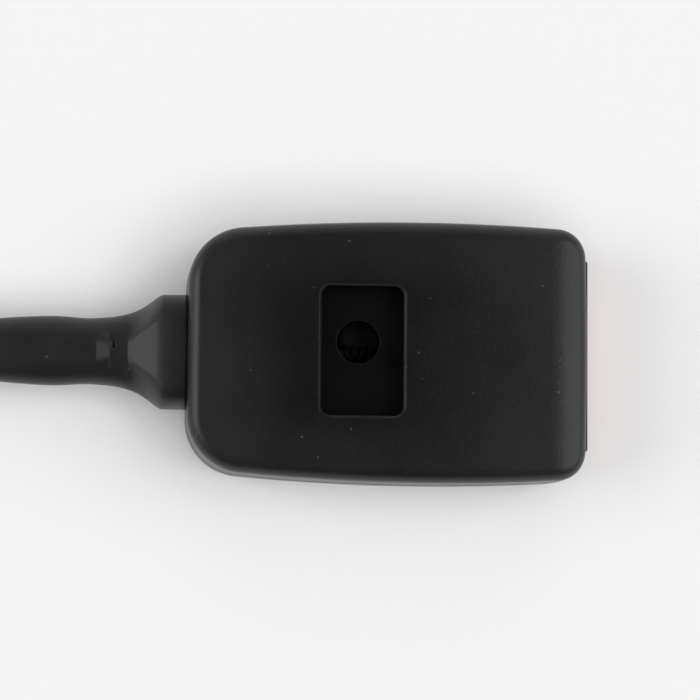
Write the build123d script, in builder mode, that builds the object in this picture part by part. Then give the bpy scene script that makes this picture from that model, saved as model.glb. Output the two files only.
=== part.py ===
"""End-release seat belt buckle on a stalk of doubled wire rope. All sizes are in millimetres.

Origin: centre of the anchor bolt hole, on the anchor plate's lower face.
+X runs along the stalk to the tongue mouth, +Y runs across, +Z points out of the rear cover.
The buckle lies on its front cover, and the release button opens to the front and to the mouth.
"""
from build123d import *
import os
from math import asin, atan2, cos, degrees, hypot, radians, sin

os.makedirs("parts", exist_ok=True)

# ---------------------------------------------------------------- driving dimensions
# Housing
anchor_to_mouth = 210.0
loop_to_stalk_end = 14.0
housing_thickness = 25.0
arm_side_room = 2.65
stalk_end_narrowing = 5.6
mouth_narrowing = 2.4
widest_from_mouth = 36.0
mouth_crown = 0.5
stalk_corner_radius = 12.0
mouth_corner_radius = 6.3
edge_radius = 3.0
mouth_slope_length = 8.0
mouth_slope_drop = 2.4
cover_wall = 2.0
draft_angle = 1.0
parting_chamfer = 0.4
lip_thickness = 0.9
lip_height = 1.5
rib_thickness = 1.6

# Rear window
window_length = 16.9
window_width = 26.6
window_from_mouth = 38.7
window_corner_radius = 2.0
window_chamfer = 0.5

# Frame
plate_depth_below_face = 4.8
frame_thickness = 2.5
frame_setback = 6.2
frame_tang_width = 22.0
frame_tang_length = 14.0
flange_length = 43.5
flange_setback = 11.0
flange_ground_gap = 4.1
frame_bend_radius = 2.0
sight_hole_radius = 4.5
sight_hole_from_mouth = 47.7
sight_hole_offset = 2.1

# Tongue mouth
channel_height = 4.5
tongue_slot_width = 27.0
bezel_side_rim = 6.5
bezel_rim = 1.6
bezel_length = 6.9
bezel_stand_out = 0.4
lead_in = 1.1
guide_rail_length = 30.0
guide_rail_thickness = 2.0
guide_bridge_length = 4.2
guide_bridge_thickness = 1.6

# Latch
nose_from_mouth = 22.0
nose_length = 5.0
nose_tip_length = 1.6
nose_width = 12.0
nose_engagement = 0.6
latch_reach = 28.0
latch_side_gap = 0.5
latch_plate_thickness = 2.2
latch_overhang = 7.0
land_height = 2.3
land_length = 3.6
latch_pin_radius = 1.5
latch_barrel_wall = 0.9
latch_pin_head_radius = 2.0
latch_pin_head_thickness = 0.6
latch_spring_from_pivot = 10.0
latch_spring_radius = 2.4
latch_spring_wire = 0.6

# Release button and lock bar
button_travel = 6.0
button_wall = 1.5
button_recess = 0.8
button_mouth_wall = 2.7
button_mouth_radius = 3.0
button_setback = 0.5
button_pad_length = 8.5
button_pad_ramp = 1.5
button_tail_overlap = 5.5
button_gusset_length = 4.0
button_gusset_spacing = 16.0
button_top_gap = 0.4
cutout_corner_radius = 1.5
arm_thickness = 4.0
arm_height = 5.0
arm_reach = 38.0
arm_shoulder_setback = 5.0
lock_bar_radius = 1.4
lock_bar_from_pivot = 21.0
lock_bar_end_setback = 0.4
lock_bar_seat = 0.2
lock_gap = 0.4
button_spring_length = 16.0
button_spring_radius = 2.2
button_spring_wire = 0.7

# Ejector
ejector_length = 12.0
ejector_tail_width = 12.0
ejector_slot_width = 4.4
ejector_slot_depth = 6.0
ejector_spring_radius = 1.75
ejector_spring_wire = 0.5
spring_seat_length = 5.7
spring_seat_width = 9.0
spring_seat_peg_radius = 0.8
ejector_bar_length = 4.0
spigot_length = 2.0

# Wire rope, its loop and its sleeve
rope_radius = 2.5
rope_leg_gap = 0.2
rope_bend_radius = 40.0
loop_radius = 8.0
loop_spread_length = 23.0
thimble_flange = 2.4
groove_sides = 8
rivet_radius = 4.0
rivet_head_radius = 6.5
rivet_head_thickness = 1.8
washer_thickness = 1.5
washer_radius = 8.0
sleeve_width = 13.8
sleeve_thickness = 9.0
sleeve_corner_radius = 4.2
collar_width = 23.6
collar_thickness = 17.0
collar_corner_radius = 5.0
collar_length = 4.8
collar_groove = 1.0
collar_flange_length = 2.4
flare_length = 11.0
flare_power = 2.0
flare_stations = 4
sleeve_start = 48.0

# Anchor
bolt_hole_radius = 6.0
anchor_thickness = 3.0
anchor_end_radius = 14.0
anchor_tail_width = 15.0
anchor_tail_end = 42.0
joggle_start = 15.0
joggle_length = 7.0
ferrule_start = 24.0
ferrule_length = 17.0
ferrule_width = 14.6
ferrule_wall = 1.8
ferrule_corner_radius = 3.6
rope_end_setback = 2.0

# Named clearances
fit_gap = 0.15
slide_gap = 0.3
running_gap = 0.05
crimp_gap = 0.02

# ---------------------------------------------------------------- places worked out from them
mouth_x = anchor_to_mouth
sight_hole_x = mouth_x - sight_hole_from_mouth
seat_face_x = sight_hole_x - sight_hole_radius - slide_gap
seat_start_x = seat_face_x - spring_seat_length
seat_peg_x = seat_start_x + 2 * spring_seat_peg_radius
loop_x = seat_start_x - slide_gap - rope_radius - loop_radius
stalk_end_x = loop_x - loop_to_stalk_end
parting_z = housing_thickness / 2
frame_width = tongue_slot_width + 2 * (guide_rail_thickness + frame_thickness)
frame_top_z = housing_thickness - plate_depth_below_face
frame_bottom_z = frame_top_z - frame_thickness
channel_bottom_z = frame_bottom_z - channel_height
frame_start_x = stalk_end_x + frame_setback + fit_gap
bezel_width = tongue_slot_width + 2 * bezel_side_rim
bezel_start_x = mouth_x + bezel_stand_out - bezel_length
frame_end_x = bezel_start_x - fit_gap
flange_end_x = mouth_x - flange_setback
flange_start_x = flange_end_x - flange_length
flange_inner_y = frame_width / 2 - frame_thickness
mouth_opening_width = bezel_width + 2 * fit_gap
bezel_bottom_z = channel_bottom_z - bezel_rim
bezel_top_z = frame_bottom_z + bezel_rim + fit_gap

latch_width = tongue_slot_width - 2 * latch_side_gap
nose_back_x = mouth_x - nose_from_mouth
nose_top_z = frame_bottom_z + nose_engagement
pivot_x = nose_back_x - latch_reach
latch_barrel_radius = latch_pin_radius + running_gap + latch_barrel_wall
pivot_z = channel_bottom_z - latch_barrel_radius
latch_end_x = nose_back_x + latch_overhang
latch_bottom_z = channel_bottom_z - latch_plate_thickness
land_bottom_z = latch_bottom_z - land_height

button_bottom_z = cover_wall + slide_gap
button_top_z = bezel_bottom_z - button_top_gap
button_half_width = mouth_opening_width / 2 - slide_gap
button_end_x = mouth_x - button_setback
cutout_x = button_end_x - button_pad_length - button_travel - cutout_corner_radius - slide_gap
arm_inner_y = frame_width / 2 + slide_gap + fit_gap
arm_center_y = arm_inner_y + arm_thickness / 2
arm_start_x = mouth_x - arm_reach
width_at_widest = 2 * (arm_inner_y + arm_thickness + arm_side_room + cover_wall)
width_at_stalk_end = width_at_widest - stalk_end_narrowing
width_at_mouth = width_at_widest - mouth_narrowing
lock_bar_z = land_bottom_z - lock_gap - lock_bar_radius
lock_bar_x = pivot_x + lock_bar_from_pivot
land_start_x = lock_bar_x - lock_bar_seat
arm_bottom_z = lock_bar_z - arm_height / 2

ejector_face_x = nose_back_x - slide_gap
ejector_bottom_z = channel_bottom_z + slide_gap
ejector_top_z = frame_bottom_z - slide_gap
ejector_axis_z = (ejector_bottom_z + ejector_top_z) / 2
ejector_half_width = tongue_slot_width / 2 - slide_gap

rope_leg_y = rope_radius + rope_leg_gap / 2
thimble_bottom_z = 2 * parting_z - frame_bottom_z
collar_start_x = stalk_end_x - collar_length
flare_start_x = collar_start_x - flare_length
rope_end_x = ferrule_start + rope_end_setback
ferrule_thickness = 2 * (rope_radius + ferrule_wall)
anchor_tail_top_z = parting_z - ferrule_thickness / 2


# ---------------------------------------------------------------- shared forms
def housing_outline(inset):
    """Plan outline of the housing with crowned sides, moved inwards by the inset."""
    stalk_half = width_at_stalk_end / 2
    mouth_half = width_at_mouth / 2
    side_end_x = mouth_x - mouth_crown
    with BuildSketch() as outline:
        with BuildLine():
            Line((stalk_end_x, stalk_half), (stalk_end_x, -stalk_half))
            ThreePointArc(
                (stalk_end_x, -stalk_half),
                (mouth_x - widest_from_mouth, -width_at_widest / 2),
                (side_end_x, -mouth_half),
            )
            ThreePointArc((side_end_x, -mouth_half), (mouth_x, 0), (side_end_x, mouth_half))
            ThreePointArc(
                (side_end_x, mouth_half),
                (mouth_x - widest_from_mouth, width_at_widest / 2),
                (stalk_end_x, stalk_half),
            )
        make_face()
        fillet(outline.vertices().group_by(Axis.X)[0], stalk_corner_radius)
        fillet(outline.vertices().group_by(Axis.X)[-1], mouth_corner_radius)
        if inset:
            offset(amount=-inset)
    return outline.sketch


def half_housing(inset):
    """Form from the parting plane to the rear face, soft at the mouth. An inset gives the hollow."""
    top_z = housing_thickness - inset
    slope_x = mouth_x - mouth_slope_length
    with BuildPart() as form:
        with BuildSketch(Plane.XY.offset(parting_z)):
            add(housing_outline(inset))
        extrude(amount=top_z - parting_z, taper=draft_angle)
        with BuildSketch(Plane.XZ):
            with BuildLine():
                Polyline((slope_x, top_z), (0, top_z), (0, 0), (mouth_x, 0), (mouth_x, top_z - mouth_slope_drop))
                TangentArc((slope_x, top_z), (mouth_x, top_z - mouth_slope_drop), tangent=(1, 0))
            make_face()
        extrude(amount=housing_thickness * 2, both=True, mode=Mode.INTERSECT)
        rear_faces = form.faces().filter_by(lambda face: face.normal_at().Z > 0.5)
        seam = rear_faces.edges().filter_by(Axis.Y).sort_by(Axis.X)[-1].center().X
        rim = rear_faces.edges().filter_by(lambda edge: abs(edge.center().X - seam) > slide_gap)
        if inset:
            chamfer(rim, edge_radius - inset)
        else:
            fillet(rim, edge_radius)
    return form.part


def rounded_bar(width, thickness, corner, start_x, end_x):
    """Bar along X with a rounded rectangular section, centred on the parting plane."""
    with BuildPart() as bar:
        with BuildSketch(Plane.YZ.offset(start_x)):
            with Locations((0, parting_z)):
                RectangleRounded(width, thickness, corner)
        extrude(amount=end_x - start_x)
    return bar.part


def mouth_opening(bottom_z, top_z):
    """Space for the bezel and the button, through both covers' mouth walls."""
    with BuildPart() as space:
        with BuildSketch(Plane.YZ.offset(mouth_x - mouth_corner_radius)):
            with Locations((0, (bottom_z + top_z) / 2)):
                Rectangle(mouth_opening_width, top_z - bottom_z)
        extrude(amount=2 * mouth_corner_radius)
    return space.part


def sleeve_opening():
    """Hole in the stalk end that grips the groove of the sleeve's collar."""
    return rounded_bar(
        collar_width - 2 * collar_groove + 2 * fit_gap,
        collar_thickness - 2 * collar_groove + 2 * fit_gap,
        collar_corner_radius - collar_groove,
        stalk_end_x - cover_wall,
        stalk_end_x + 2 * cover_wall,
    )


def lap_ring(inner_inset, outer_inset, bottom_z, height):
    """Ring that follows the housing's outline, for the lip and for the rebate it sits in."""
    with BuildPart() as ring:
        with BuildSketch(Plane.XY.offset(bottom_z)):
            add(housing_outline(outer_inset))
            add(housing_outline(inner_inset), mode=Mode.SUBTRACT)
        extrude(amount=height)
    return ring.part


def mirrored(shape):
    """The same shape on the other side of the housing's centre plane."""
    return mirror(shape, about=Plane.XZ, mode=Mode.PRIVATE)


def spring_envelope(radius, wire, length, plane):
    """Space taken by a compression spring that stands on the plane."""
    with BuildPart() as spring:
        with BuildSketch(plane):
            Circle(radius)
            Circle(radius - wire, mode=Mode.SUBTRACT)
        extrude(amount=length)
    return spring.part


# ---------------------------------------------------------------- housing
def make_rear_cover():
    """Rear shell with its window, window collar, frame pads, stiffening ribs and lap lip."""
    window_x = mouth_x - window_from_mouth - window_length / 2
    with BuildPart() as rear_cover:
        add(half_housing(0))
        chamfer(rear_cover.faces().sort_by(Axis.Z)[0].edges(), parting_chamfer)
        add(half_housing(cover_wall), mode=Mode.SUBTRACT)
        add(lap_ring(cover_wall, cover_wall - lip_thickness, parting_z - lip_height, 2 * lip_height))
        # Collar round the window, which closes the gap down to the frame
        with BuildSketch(Plane.XY.offset(frame_top_z + fit_gap)):
            with Locations((window_x, 0)):
                RectangleRounded(
                    window_length + 2 * rib_thickness,
                    window_width + 2 * rib_thickness,
                    window_corner_radius + rib_thickness,
                )
        extrude(until=Until.NEXT)
        # Pads that clamp the frame, and ribs across the mouth half
        with BuildSketch(Plane.XY.offset(frame_top_z)):
            for pad_x in (loop_x + washer_radius + rib_thickness, frame_end_x - rib_thickness):
                with Locations((pad_x, flange_inner_y - rib_thickness), (pad_x, rib_thickness - flange_inner_y)):
                    RectangleRounded(2 * rib_thickness, 2 * rib_thickness, rib_thickness / 2)
        extrude(until=Until.NEXT)
        with BuildSketch(Plane.XY.offset(frame_top_z + fit_gap)):
            with Locations((nose_back_x + nose_length / 2, 0)):
                with GridLocations(2 * nose_length, 0, 2, 1):
                    Rectangle(rib_thickness, frame_width - 2 * rib_thickness)
        extrude(until=Until.NEXT)
        # Openings
        with BuildSketch(Plane.XY.offset(parting_z)):
            with Locations((window_x, 0)):
                RectangleRounded(window_length, window_width, window_corner_radius)
        extrude(amount=housing_thickness, mode=Mode.SUBTRACT)
        face_edges = rear_cover.faces().filter_by(Plane.XY).sort_by(Axis.Z)[-1].inner_wires().edges()
        chamfer(face_edges, window_chamfer)
        add(mouth_opening(0, bezel_top_z + fit_gap), mode=Mode.SUBTRACT)
        add(sleeve_opening(), mode=Mode.SUBTRACT)
    return rear_cover.part


def make_front_cover():
    """Front shell with the button's cut-out, spring posts, frame ribs and the rebate for the lip."""
    lip_gap = lip_thickness + fit_gap
    with BuildPart() as front_cover:
        add(mirror(half_housing(0), about=Plane.XY.offset(parting_z), mode=Mode.PRIVATE))
        chamfer(front_cover.faces().sort_by(Axis.Z)[-1].edges(), parting_chamfer)
        hollow = mirror(half_housing(cover_wall), about=Plane.XY.offset(parting_z), mode=Mode.PRIVATE)
        add(hollow, mode=Mode.SUBTRACT)
        rebate = lap_ring(2 * cover_wall, cover_wall - lip_gap, parting_z - lip_height - fit_gap, 2 * lip_height)
        add(rebate, mode=Mode.SUBTRACT)
        # Ribs under the frame's flanges
        rib_x = pivot_x + latch_spring_from_pivot
        with BuildSketch(Plane.XY.offset(cover_wall)):
            with Locations((rib_x, 0)):
                with GridLocations(0, frame_width - frame_thickness, 1, 2):
                    Rectangle(2 * latch_spring_from_pivot, rib_thickness)
        extrude(amount=flange_ground_gap - cover_wall)
        # Posts behind the two button springs
        with BuildSketch(Plane.XY.offset(cover_wall)):
            with Locations((arm_start_x - button_spring_length - rib_thickness / 2, 0)):
                with GridLocations(0, 2 * arm_center_y, 1, 2):
                    Rectangle(rib_thickness, 2 * button_spring_radius)
        extrude(amount=lock_bar_z + button_spring_radius - cover_wall)
        # Stud that locates the latch spring
        with BuildSketch(Plane.XY.offset(cover_wall)):
            with Locations((rib_x, 0)):
                Circle(latch_spring_radius - latch_spring_wire - fit_gap)
        extrude(amount=rib_thickness)
        # Cross ribs under the rope's loop
        with BuildSketch(Plane.XY.offset(cover_wall)):
            with Locations((loop_x, 0)):
                with GridLocations(2 * rivet_head_radius, 0, 2, 1):
                    Rectangle(rib_thickness, frame_tang_width)
        extrude(amount=rib_thickness)
        # Cut-out for the thumb, through the front face and the mouth wall
        with BuildSketch(Plane.XY.offset(-housing_thickness)) as cutout:
            with Locations((cutout_x, 0)):
                Rectangle(2 * (mouth_x - cutout_x), mouth_opening_width, align=(Align.MIN, Align.CENTER))
            fillet(cutout.vertices().group_by(Axis.X)[0], cutout_corner_radius)
        extrude(amount=housing_thickness + parting_z - lip_height, mode=Mode.SUBTRACT)
        add(mouth_opening(0, housing_thickness), mode=Mode.SUBTRACT)
        add(sleeve_opening(), mode=Mode.SUBTRACT)
    return front_cover.part


def make_mouth_bezel():
    """Rim round the tongue slot, standing a little out of the mouth, with a flared lead-in."""
    with BuildPart() as bezel:
        with BuildSketch(Plane.YZ.offset(bezel_start_x)):
            with Locations((0, (bezel_bottom_z + bezel_top_z) / 2)):
                Rectangle(bezel_width, bezel_top_z - bezel_bottom_z)
        extrude(amount=bezel_length)
        chamfer(bezel.edges().filter_by(Axis.X), parting_chamfer)
        chamfer(bezel.faces().sort_by(Axis.X)[-1].edges(), parting_chamfer)
        with BuildSketch(Plane.YZ.offset(bezel_start_x)):
            with Locations((0, (channel_bottom_z + frame_bottom_z) / 2)):
                Rectangle(tongue_slot_width, channel_height)
        extrude(amount=bezel_length, mode=Mode.SUBTRACT)
        chamfer(bezel.faces().sort_by(Axis.X)[-1].inner_wires().edges(), lead_in)
    return bezel.part


# ---------------------------------------------------------------- frame and tongue guide
def make_frame():
    """Pressed channel: a base plate behind the tongue and two flanges that carry pin and lock bar."""
    tang_end_x = frame_start_x + frame_tang_length
    shoulder_x = tang_end_x + (frame_width - frame_tang_width) / 2
    half_width = frame_width / 2
    half_tang = frame_tang_width / 2
    with BuildPart() as frame:
        with BuildSketch(Plane.XY.offset(frame_bottom_z)) as plate:
            with BuildLine() as upper_edge:
                Polyline(
                    (frame_end_x, 0),
                    (frame_end_x, half_width),
                    (shoulder_x, half_width),
                    (tang_end_x, half_tang),
                    (frame_start_x, half_tang),
                    (frame_start_x, 0),
                )
                mirror(about=Plane.XZ)
            make_face()
            fillet(plate.vertices().group_by(Axis.X)[0], frame_bend_radius)
            fillet(plate.vertices().group_by(Axis.X)[-1], frame_bend_radius / 2)
        extrude(amount=frame_thickness)
        # Flanges, bent down from the plate
        with BuildSketch(Plane.XZ) as flange:
            with BuildLine():
                Polyline(
                    (flange_start_x, frame_top_z),
                    (flange_start_x, pivot_z),
                    (flange_start_x + frame_bend_radius, flange_ground_gap),
                    (flange_end_x - frame_bend_radius, flange_ground_gap),
                    (flange_end_x, pivot_z),
                    (flange_end_x, frame_top_z),
                    close=True,
                )
            make_face()
            fillet(flange.vertices().filter_by(lambda point: point.Y < frame_bottom_z), frame_bend_radius)
            with Locations((pivot_x, pivot_z)):
                Circle(latch_pin_radius + crimp_gap, mode=Mode.SUBTRACT)
            with Locations((lock_bar_x - button_travel / 2, lock_bar_z)):
                SlotCenterToCenter(
                    button_travel + 2 * fit_gap, 2 * (lock_bar_radius + fit_gap), mode=Mode.SUBTRACT
                )
        extrude(amount=half_width, both=True)
        with BuildSketch(Plane.XY):
            with Locations((flange_start_x - frame_thickness, 0)):
                Rectangle(2 * flange_length, 2 * flange_inner_y, align=(Align.MIN, Align.CENTER))
        extrude(amount=frame_bottom_z, mode=Mode.SUBTRACT)
        bend_edges = frame.edges().filter_by(Axis.X).filter_by(
            lambda edge: abs(edge.center().Z - frame_top_z) < slide_gap
        )
        fillet(bend_edges.filter_by(lambda edge: abs(edge.center().Y) > half_tang), frame_bend_radius)
        # Rivet hole, latch slot, sight hole and the hole for the spring seat's peg
        with Locations((loop_x, 0)):
            Hole(rivet_radius + crimp_gap)
        with BuildSketch(Plane.XY.offset(frame_bottom_z)):
            with Locations((nose_back_x + nose_length / 2, 0)):
                RectangleRounded(nose_length + 2 * slide_gap, nose_width + 4 * slide_gap, slide_gap)
            with Locations((sight_hole_x, sight_hole_offset)):
                Circle(sight_hole_radius)
            with Locations((seat_peg_x, 0)):
                Circle(spring_seat_peg_radius + fit_gap)
        extrude(amount=frame_thickness, mode=Mode.SUBTRACT)
    return frame.part


def make_tongue_guide():
    """Moulded liner: two rails inside the flanges, joined by a bridge under the tongue's way in."""
    rail_start_x = frame_end_x - guide_rail_length
    rail_inner_y = tongue_slot_width / 2
    with BuildPart() as guide:
        with BuildSketch(Plane.XY.offset(channel_bottom_z)):
            with Locations((rail_start_x, rail_inner_y), (rail_start_x, -flange_inner_y)):
                Rectangle(guide_rail_length, flange_inner_y - rail_inner_y, align=(Align.MIN, Align.MIN))
        extrude(amount=channel_height)
        chamfer(guide.faces().sort_by(Axis.Z)[-1].edges().filter_by(Axis.X), slide_gap)
        with BuildSketch(Plane.XY.offset(channel_bottom_z - guide_bridge_thickness)):
            with Locations((frame_end_x, 0)):
                Rectangle(guide_bridge_length, 2 * flange_inner_y, align=(Align.MAX, Align.CENTER))
        extrude(amount=guide_bridge_thickness)
        bridge_back = guide.faces().sort_by(Axis.Z)[0].edges().filter_by(Axis.Y).sort_by(Axis.X)[0]
        chamfer(bridge_back, guide_bridge_thickness / 2)
    return guide.part


# ---------------------------------------------------------------- latch
def make_latch():
    """Steel latch: a barrel on its pin, a plate, the nose that holds the tongue, and the locking land."""
    nose_end_x = nose_back_x + nose_length
    with BuildPart() as latch:
        with BuildSketch(Plane.XY.offset(latch_bottom_z)) as plate:
            with Locations((pivot_x, 0)):
                Rectangle(latch_end_x - pivot_x, latch_width, align=(Align.MIN, Align.CENTER))
            fillet(plate.vertices().group_by(Axis.X)[-1], nose_tip_length)
        extrude(amount=latch_plate_thickness)
        with BuildSketch(Plane.XZ):
            with Locations((pivot_x, pivot_z)):
                Circle(latch_barrel_radius)
        extrude(amount=flange_inner_y - slide_gap, both=True)
        # Nose: upright where it holds, sloped where the tongue pushes it aside
        with BuildSketch(Plane.XZ):
            with BuildLine():
                Polyline(
                    (nose_back_x, latch_bottom_z),
                    (nose_back_x, nose_top_z),
                    (nose_back_x + nose_tip_length, nose_top_z),
                    (nose_end_x, channel_bottom_z),
                    (nose_end_x, latch_bottom_z),
                    close=True,
                )
            make_face()
        extrude(amount=nose_width / 2, both=True)
        # Land that the lock bar stands under
        with BuildSketch(Plane.XZ):
            with BuildLine():
                Polyline(
                    (land_start_x, latch_bottom_z),
                    (land_start_x, land_bottom_z),
                    (land_start_x + land_length - land_height / 2, land_bottom_z),
                    (land_start_x + land_length, latch_bottom_z),
                    close=True,
                )
            make_face()
        extrude(amount=latch_width / 2, both=True)
        with BuildSketch(Plane.XY.offset(latch_bottom_z - rib_thickness / 2)):
            with Locations((pivot_x + latch_spring_from_pivot, 0)):
                Circle(latch_spring_radius - latch_spring_wire - fit_gap)
        extrude(amount=rib_thickness / 2)
        with BuildSketch(Plane.XZ):
            with Locations((pivot_x, pivot_z)):
                Circle(latch_pin_radius + running_gap)
        extrude(amount=flange_inner_y, both=True, mode=Mode.SUBTRACT)
    return latch.part


def make_latch_pin():
    """Pin through both flanges, staked over at each end."""
    with BuildPart() as pin:
        with BuildSketch(Plane.XZ):
            with Locations((pivot_x, pivot_z)):
                Circle(latch_pin_radius)
        extrude(amount=frame_width / 2, both=True)
        for side in (-1, 1):
            with BuildSketch(Plane.XZ.offset(side * frame_width / 2)):
                with Locations((pivot_x, pivot_z)):
                    Circle(latch_pin_head_radius)
            extrude(amount=side * latch_pin_head_thickness)
        chamfer(pin.faces().filter_by(Axis.Y).sort_by(Axis.Y)[0].edges(), latch_pin_head_thickness / 2)
        chamfer(pin.faces().filter_by(Axis.Y).sort_by(Axis.Y)[-1].edges(), latch_pin_head_thickness / 2)
    return pin.part


def make_latch_spring():
    """Spring between the front cover and the latch."""
    foot = Plane((pivot_x + latch_spring_from_pivot, 0, cover_wall))
    return spring_envelope(latch_spring_radius, latch_spring_wire, latch_bottom_z - cover_wall, foot)


# ---------------------------------------------------------------- release button
def make_release_button():
    """Hollow thumb button with a raised pad, cheeks, gussets and two arms that carry the lock bar."""
    tail_x = cutout_x - button_tail_overlap
    pad_x = button_end_x - button_pad_length
    wall_top_z = button_bottom_z + button_wall
    mouth_wall_x = button_end_x - button_mouth_wall
    with BuildPart() as button:
        with BuildSketch(Plane.XZ) as profile:
            with BuildLine():
                Polyline(
                    (tail_x, button_bottom_z),
                    (pad_x - button_pad_ramp, button_bottom_z),
                    (pad_x, button_recess),
                    (button_end_x, button_recess),
                    (button_end_x, button_top_z),
                    (mouth_wall_x, button_top_z),
                    (mouth_wall_x, wall_top_z),
                    (tail_x, wall_top_z),
                    close=True,
                )
            make_face()
            thumb_corner = profile.vertices().sort_by(Axis.Y).group_by(Axis.X)[-1].sort_by(Axis.Y)[0]
            fillet(thumb_corner, button_mouth_radius)
        extrude(amount=button_half_width, both=True)
        # Cheeks beside the frame
        with BuildSketch(Plane.XY.offset(button_bottom_z)):
            with Locations((tail_x, arm_inner_y), (tail_x, -button_half_width)):
                Rectangle(
                    mouth_wall_x - tail_x, button_half_width - arm_inner_y, align=(Align.MIN, Align.MIN)
                )
        extrude(amount=button_top_z - button_bottom_z)
        # Arms, with shoulders that stop behind the covers' mouth walls
        shoulder_x = mouth_x - arm_shoulder_setback
        with BuildSketch(Plane.XY.offset(arm_bottom_z)) as arms:
            with Locations((arm_start_x, arm_inner_y), (arm_start_x, -arm_inner_y - arm_thickness)):
                Rectangle(shoulder_x - arm_start_x, arm_thickness, align=(Align.MIN, Align.MIN))
            outer = arms.vertices().filter_by(lambda point: abs(point.Y) > arm_center_y)
            chamfer(outer, arm_thickness / 4)
        extrude(amount=arm_height)
        with BuildSketch(Plane.YZ.offset(arm_start_x)):
            with Locations((arm_center_y, lock_bar_z), (-arm_center_y, lock_bar_z)):
                Circle(button_spring_radius - button_spring_wire - fit_gap)
        extrude(amount=-spigot_length)
        # Gussets behind the mouth wall
        with BuildSketch(Plane.XZ):
            with BuildLine():
                Polyline(
                    (mouth_wall_x, wall_top_z),
                    (mouth_wall_x - button_gusset_length, wall_top_z),
                    (mouth_wall_x, wall_top_z + button_gusset_length),
                    close=True,
                )
            make_face()
        extrude(amount=(button_gusset_spacing + button_wall) / 2, both=True)
        with BuildSketch(Plane.XZ):
            with Locations((mouth_wall_x, wall_top_z)):
                Rectangle(
                    button_gusset_length, button_gusset_length, align=(Align.MAX, Align.MIN)
                )
        extrude(amount=(button_gusset_spacing - button_wall) / 2, both=True, mode=Mode.SUBTRACT)
        with BuildSketch(Plane.XZ):
            with Locations((lock_bar_x, lock_bar_z)):
                Circle(lock_bar_radius + running_gap)
        extrude(amount=housing_thickness, both=True, mode=Mode.SUBTRACT)
    return button.part


def make_lock_bar():
    """Round bar across the frame, held in the button's arms."""
    with BuildPart() as bar:
        with BuildSketch(Plane.XZ):
            with Locations((lock_bar_x, lock_bar_z)):
                Circle(lock_bar_radius)
        extrude(amount=arm_inner_y + arm_thickness - lock_bar_end_setback, both=True)
        chamfer(bar.edges().filter_by(GeomType.CIRCLE), slide_gap)
    return bar.part


def make_button_spring(side):
    """Spring between a post of the front cover and the end of the button's arm on one side."""
    foot = Plane((arm_start_x - button_spring_length, side * arm_center_y, lock_bar_z), z_dir=(1, 0, 0))
    return spring_envelope(button_spring_radius, button_spring_wire, button_spring_length, foot)


# ---------------------------------------------------------------- ejector
def make_ejector():
    """T-shaped slide behind the tongue, with a slot for its spring."""
    with BuildPart() as ejector:
        with BuildSketch(Plane.XY.offset(ejector_bottom_z)) as plan:
            with Locations((ejector_face_x, 0)):
                Rectangle(ejector_bar_length, 2 * ejector_half_width, align=(Align.MAX, Align.CENTER))
                Rectangle(ejector_length, ejector_tail_width, align=(Align.MAX, Align.CENTER))
            with Locations((ejector_face_x - ejector_length, 0)):
                Rectangle(
                    ejector_slot_depth, ejector_slot_width, align=(Align.MIN, Align.CENTER), mode=Mode.SUBTRACT
                )
            inner = plan.vertices().filter_by(lambda point: abs(abs(point.Y) - ejector_tail_width / 2) < slide_gap)
            fillet(inner, slide_gap * 2)
        extrude(amount=ejector_top_z - ejector_bottom_z)
        chamfer(ejector.faces().sort_by(Axis.X)[-1].edges(), slide_gap)
    return ejector.part


def make_spring_seat():
    """Block under the frame plate, with a peg in the plate and a spigot inside the spring."""
    with BuildPart() as seat:
        with BuildSketch(Plane.XY.offset(ejector_bottom_z)):
            with Locations((seat_start_x, 0)):
                Rectangle(spring_seat_length, spring_seat_width, align=(Align.MIN, Align.CENTER))
        extrude(amount=frame_bottom_z - ejector_bottom_z)
        chamfer(seat.edges().filter_by(Axis.Z), slide_gap)
        with BuildSketch(Plane.XY.offset(frame_bottom_z)):
            with Locations((seat_peg_x, 0)):
                Circle(spring_seat_peg_radius)
        extrude(amount=frame_thickness)
        with BuildSketch(Plane.YZ.offset(seat_face_x)):
            with Locations((0, ejector_axis_z)):
                Circle(ejector_spring_radius - ejector_spring_wire - fit_gap)
        extrude(amount=spigot_length)
    return seat.part


def make_ejector_spring():
    """Spring between its seat and the bottom of the ejector's slot."""
    length = ejector_face_x - ejector_length + ejector_slot_depth - seat_face_x
    foot = Plane((seat_face_x, 0, ejector_axis_z), z_dir=(1, 0, 0))
    return spring_envelope(ejector_spring_radius, ejector_spring_wire, length, foot)


# ---------------------------------------------------------------- rope, its loop and its sleeve
def loop_tangent():
    """Point where a rope leg leaves the loop, and the point where it turns in line with the stalk."""
    spread_x = loop_x - loop_spread_length
    reach = hypot(loop_spread_length, rope_leg_y)
    slope = asin(loop_radius / reach) - atan2(rope_leg_y, loop_spread_length)
    touch = (loop_x - loop_radius * sin(slope), loop_radius * cos(slope))
    return touch, (spread_x, rope_leg_y)


def rope_leg(radius):
    """One leg of the rope from the ferrule to the loop."""
    touch, turn = loop_tangent()
    with BuildPart() as leg:
        with BuildLine(Plane.XY.offset(parting_z)) as path:
            FilletPolyline(touch, turn, (rope_end_x, rope_leg_y), radius=rope_bend_radius)
        with BuildSketch(Plane(path.line @ 1, z_dir=path.line % 1)):
            Circle(radius)
        sweep(path=path.line)
    return leg.part


def make_wire_rope():
    """Rope doubled back on itself: two straight legs and the loop round the thimble."""
    touch, turn = loop_tangent()
    with BuildPart() as rope:
        add(rope_leg(rope_radius))
        add(mirrored(rope_leg(rope_radius)))
        with BuildLine(Plane.XY.offset(parting_z)) as path:
            ThreePointArc((touch[0], -touch[1]), (loop_x + loop_radius, 0), touch)
        with BuildSketch(Plane(path.line @ 0, z_dir=path.line % 0)):
            Circle(rope_radius)
        sweep(path=path.line)
    return rope.part


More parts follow.
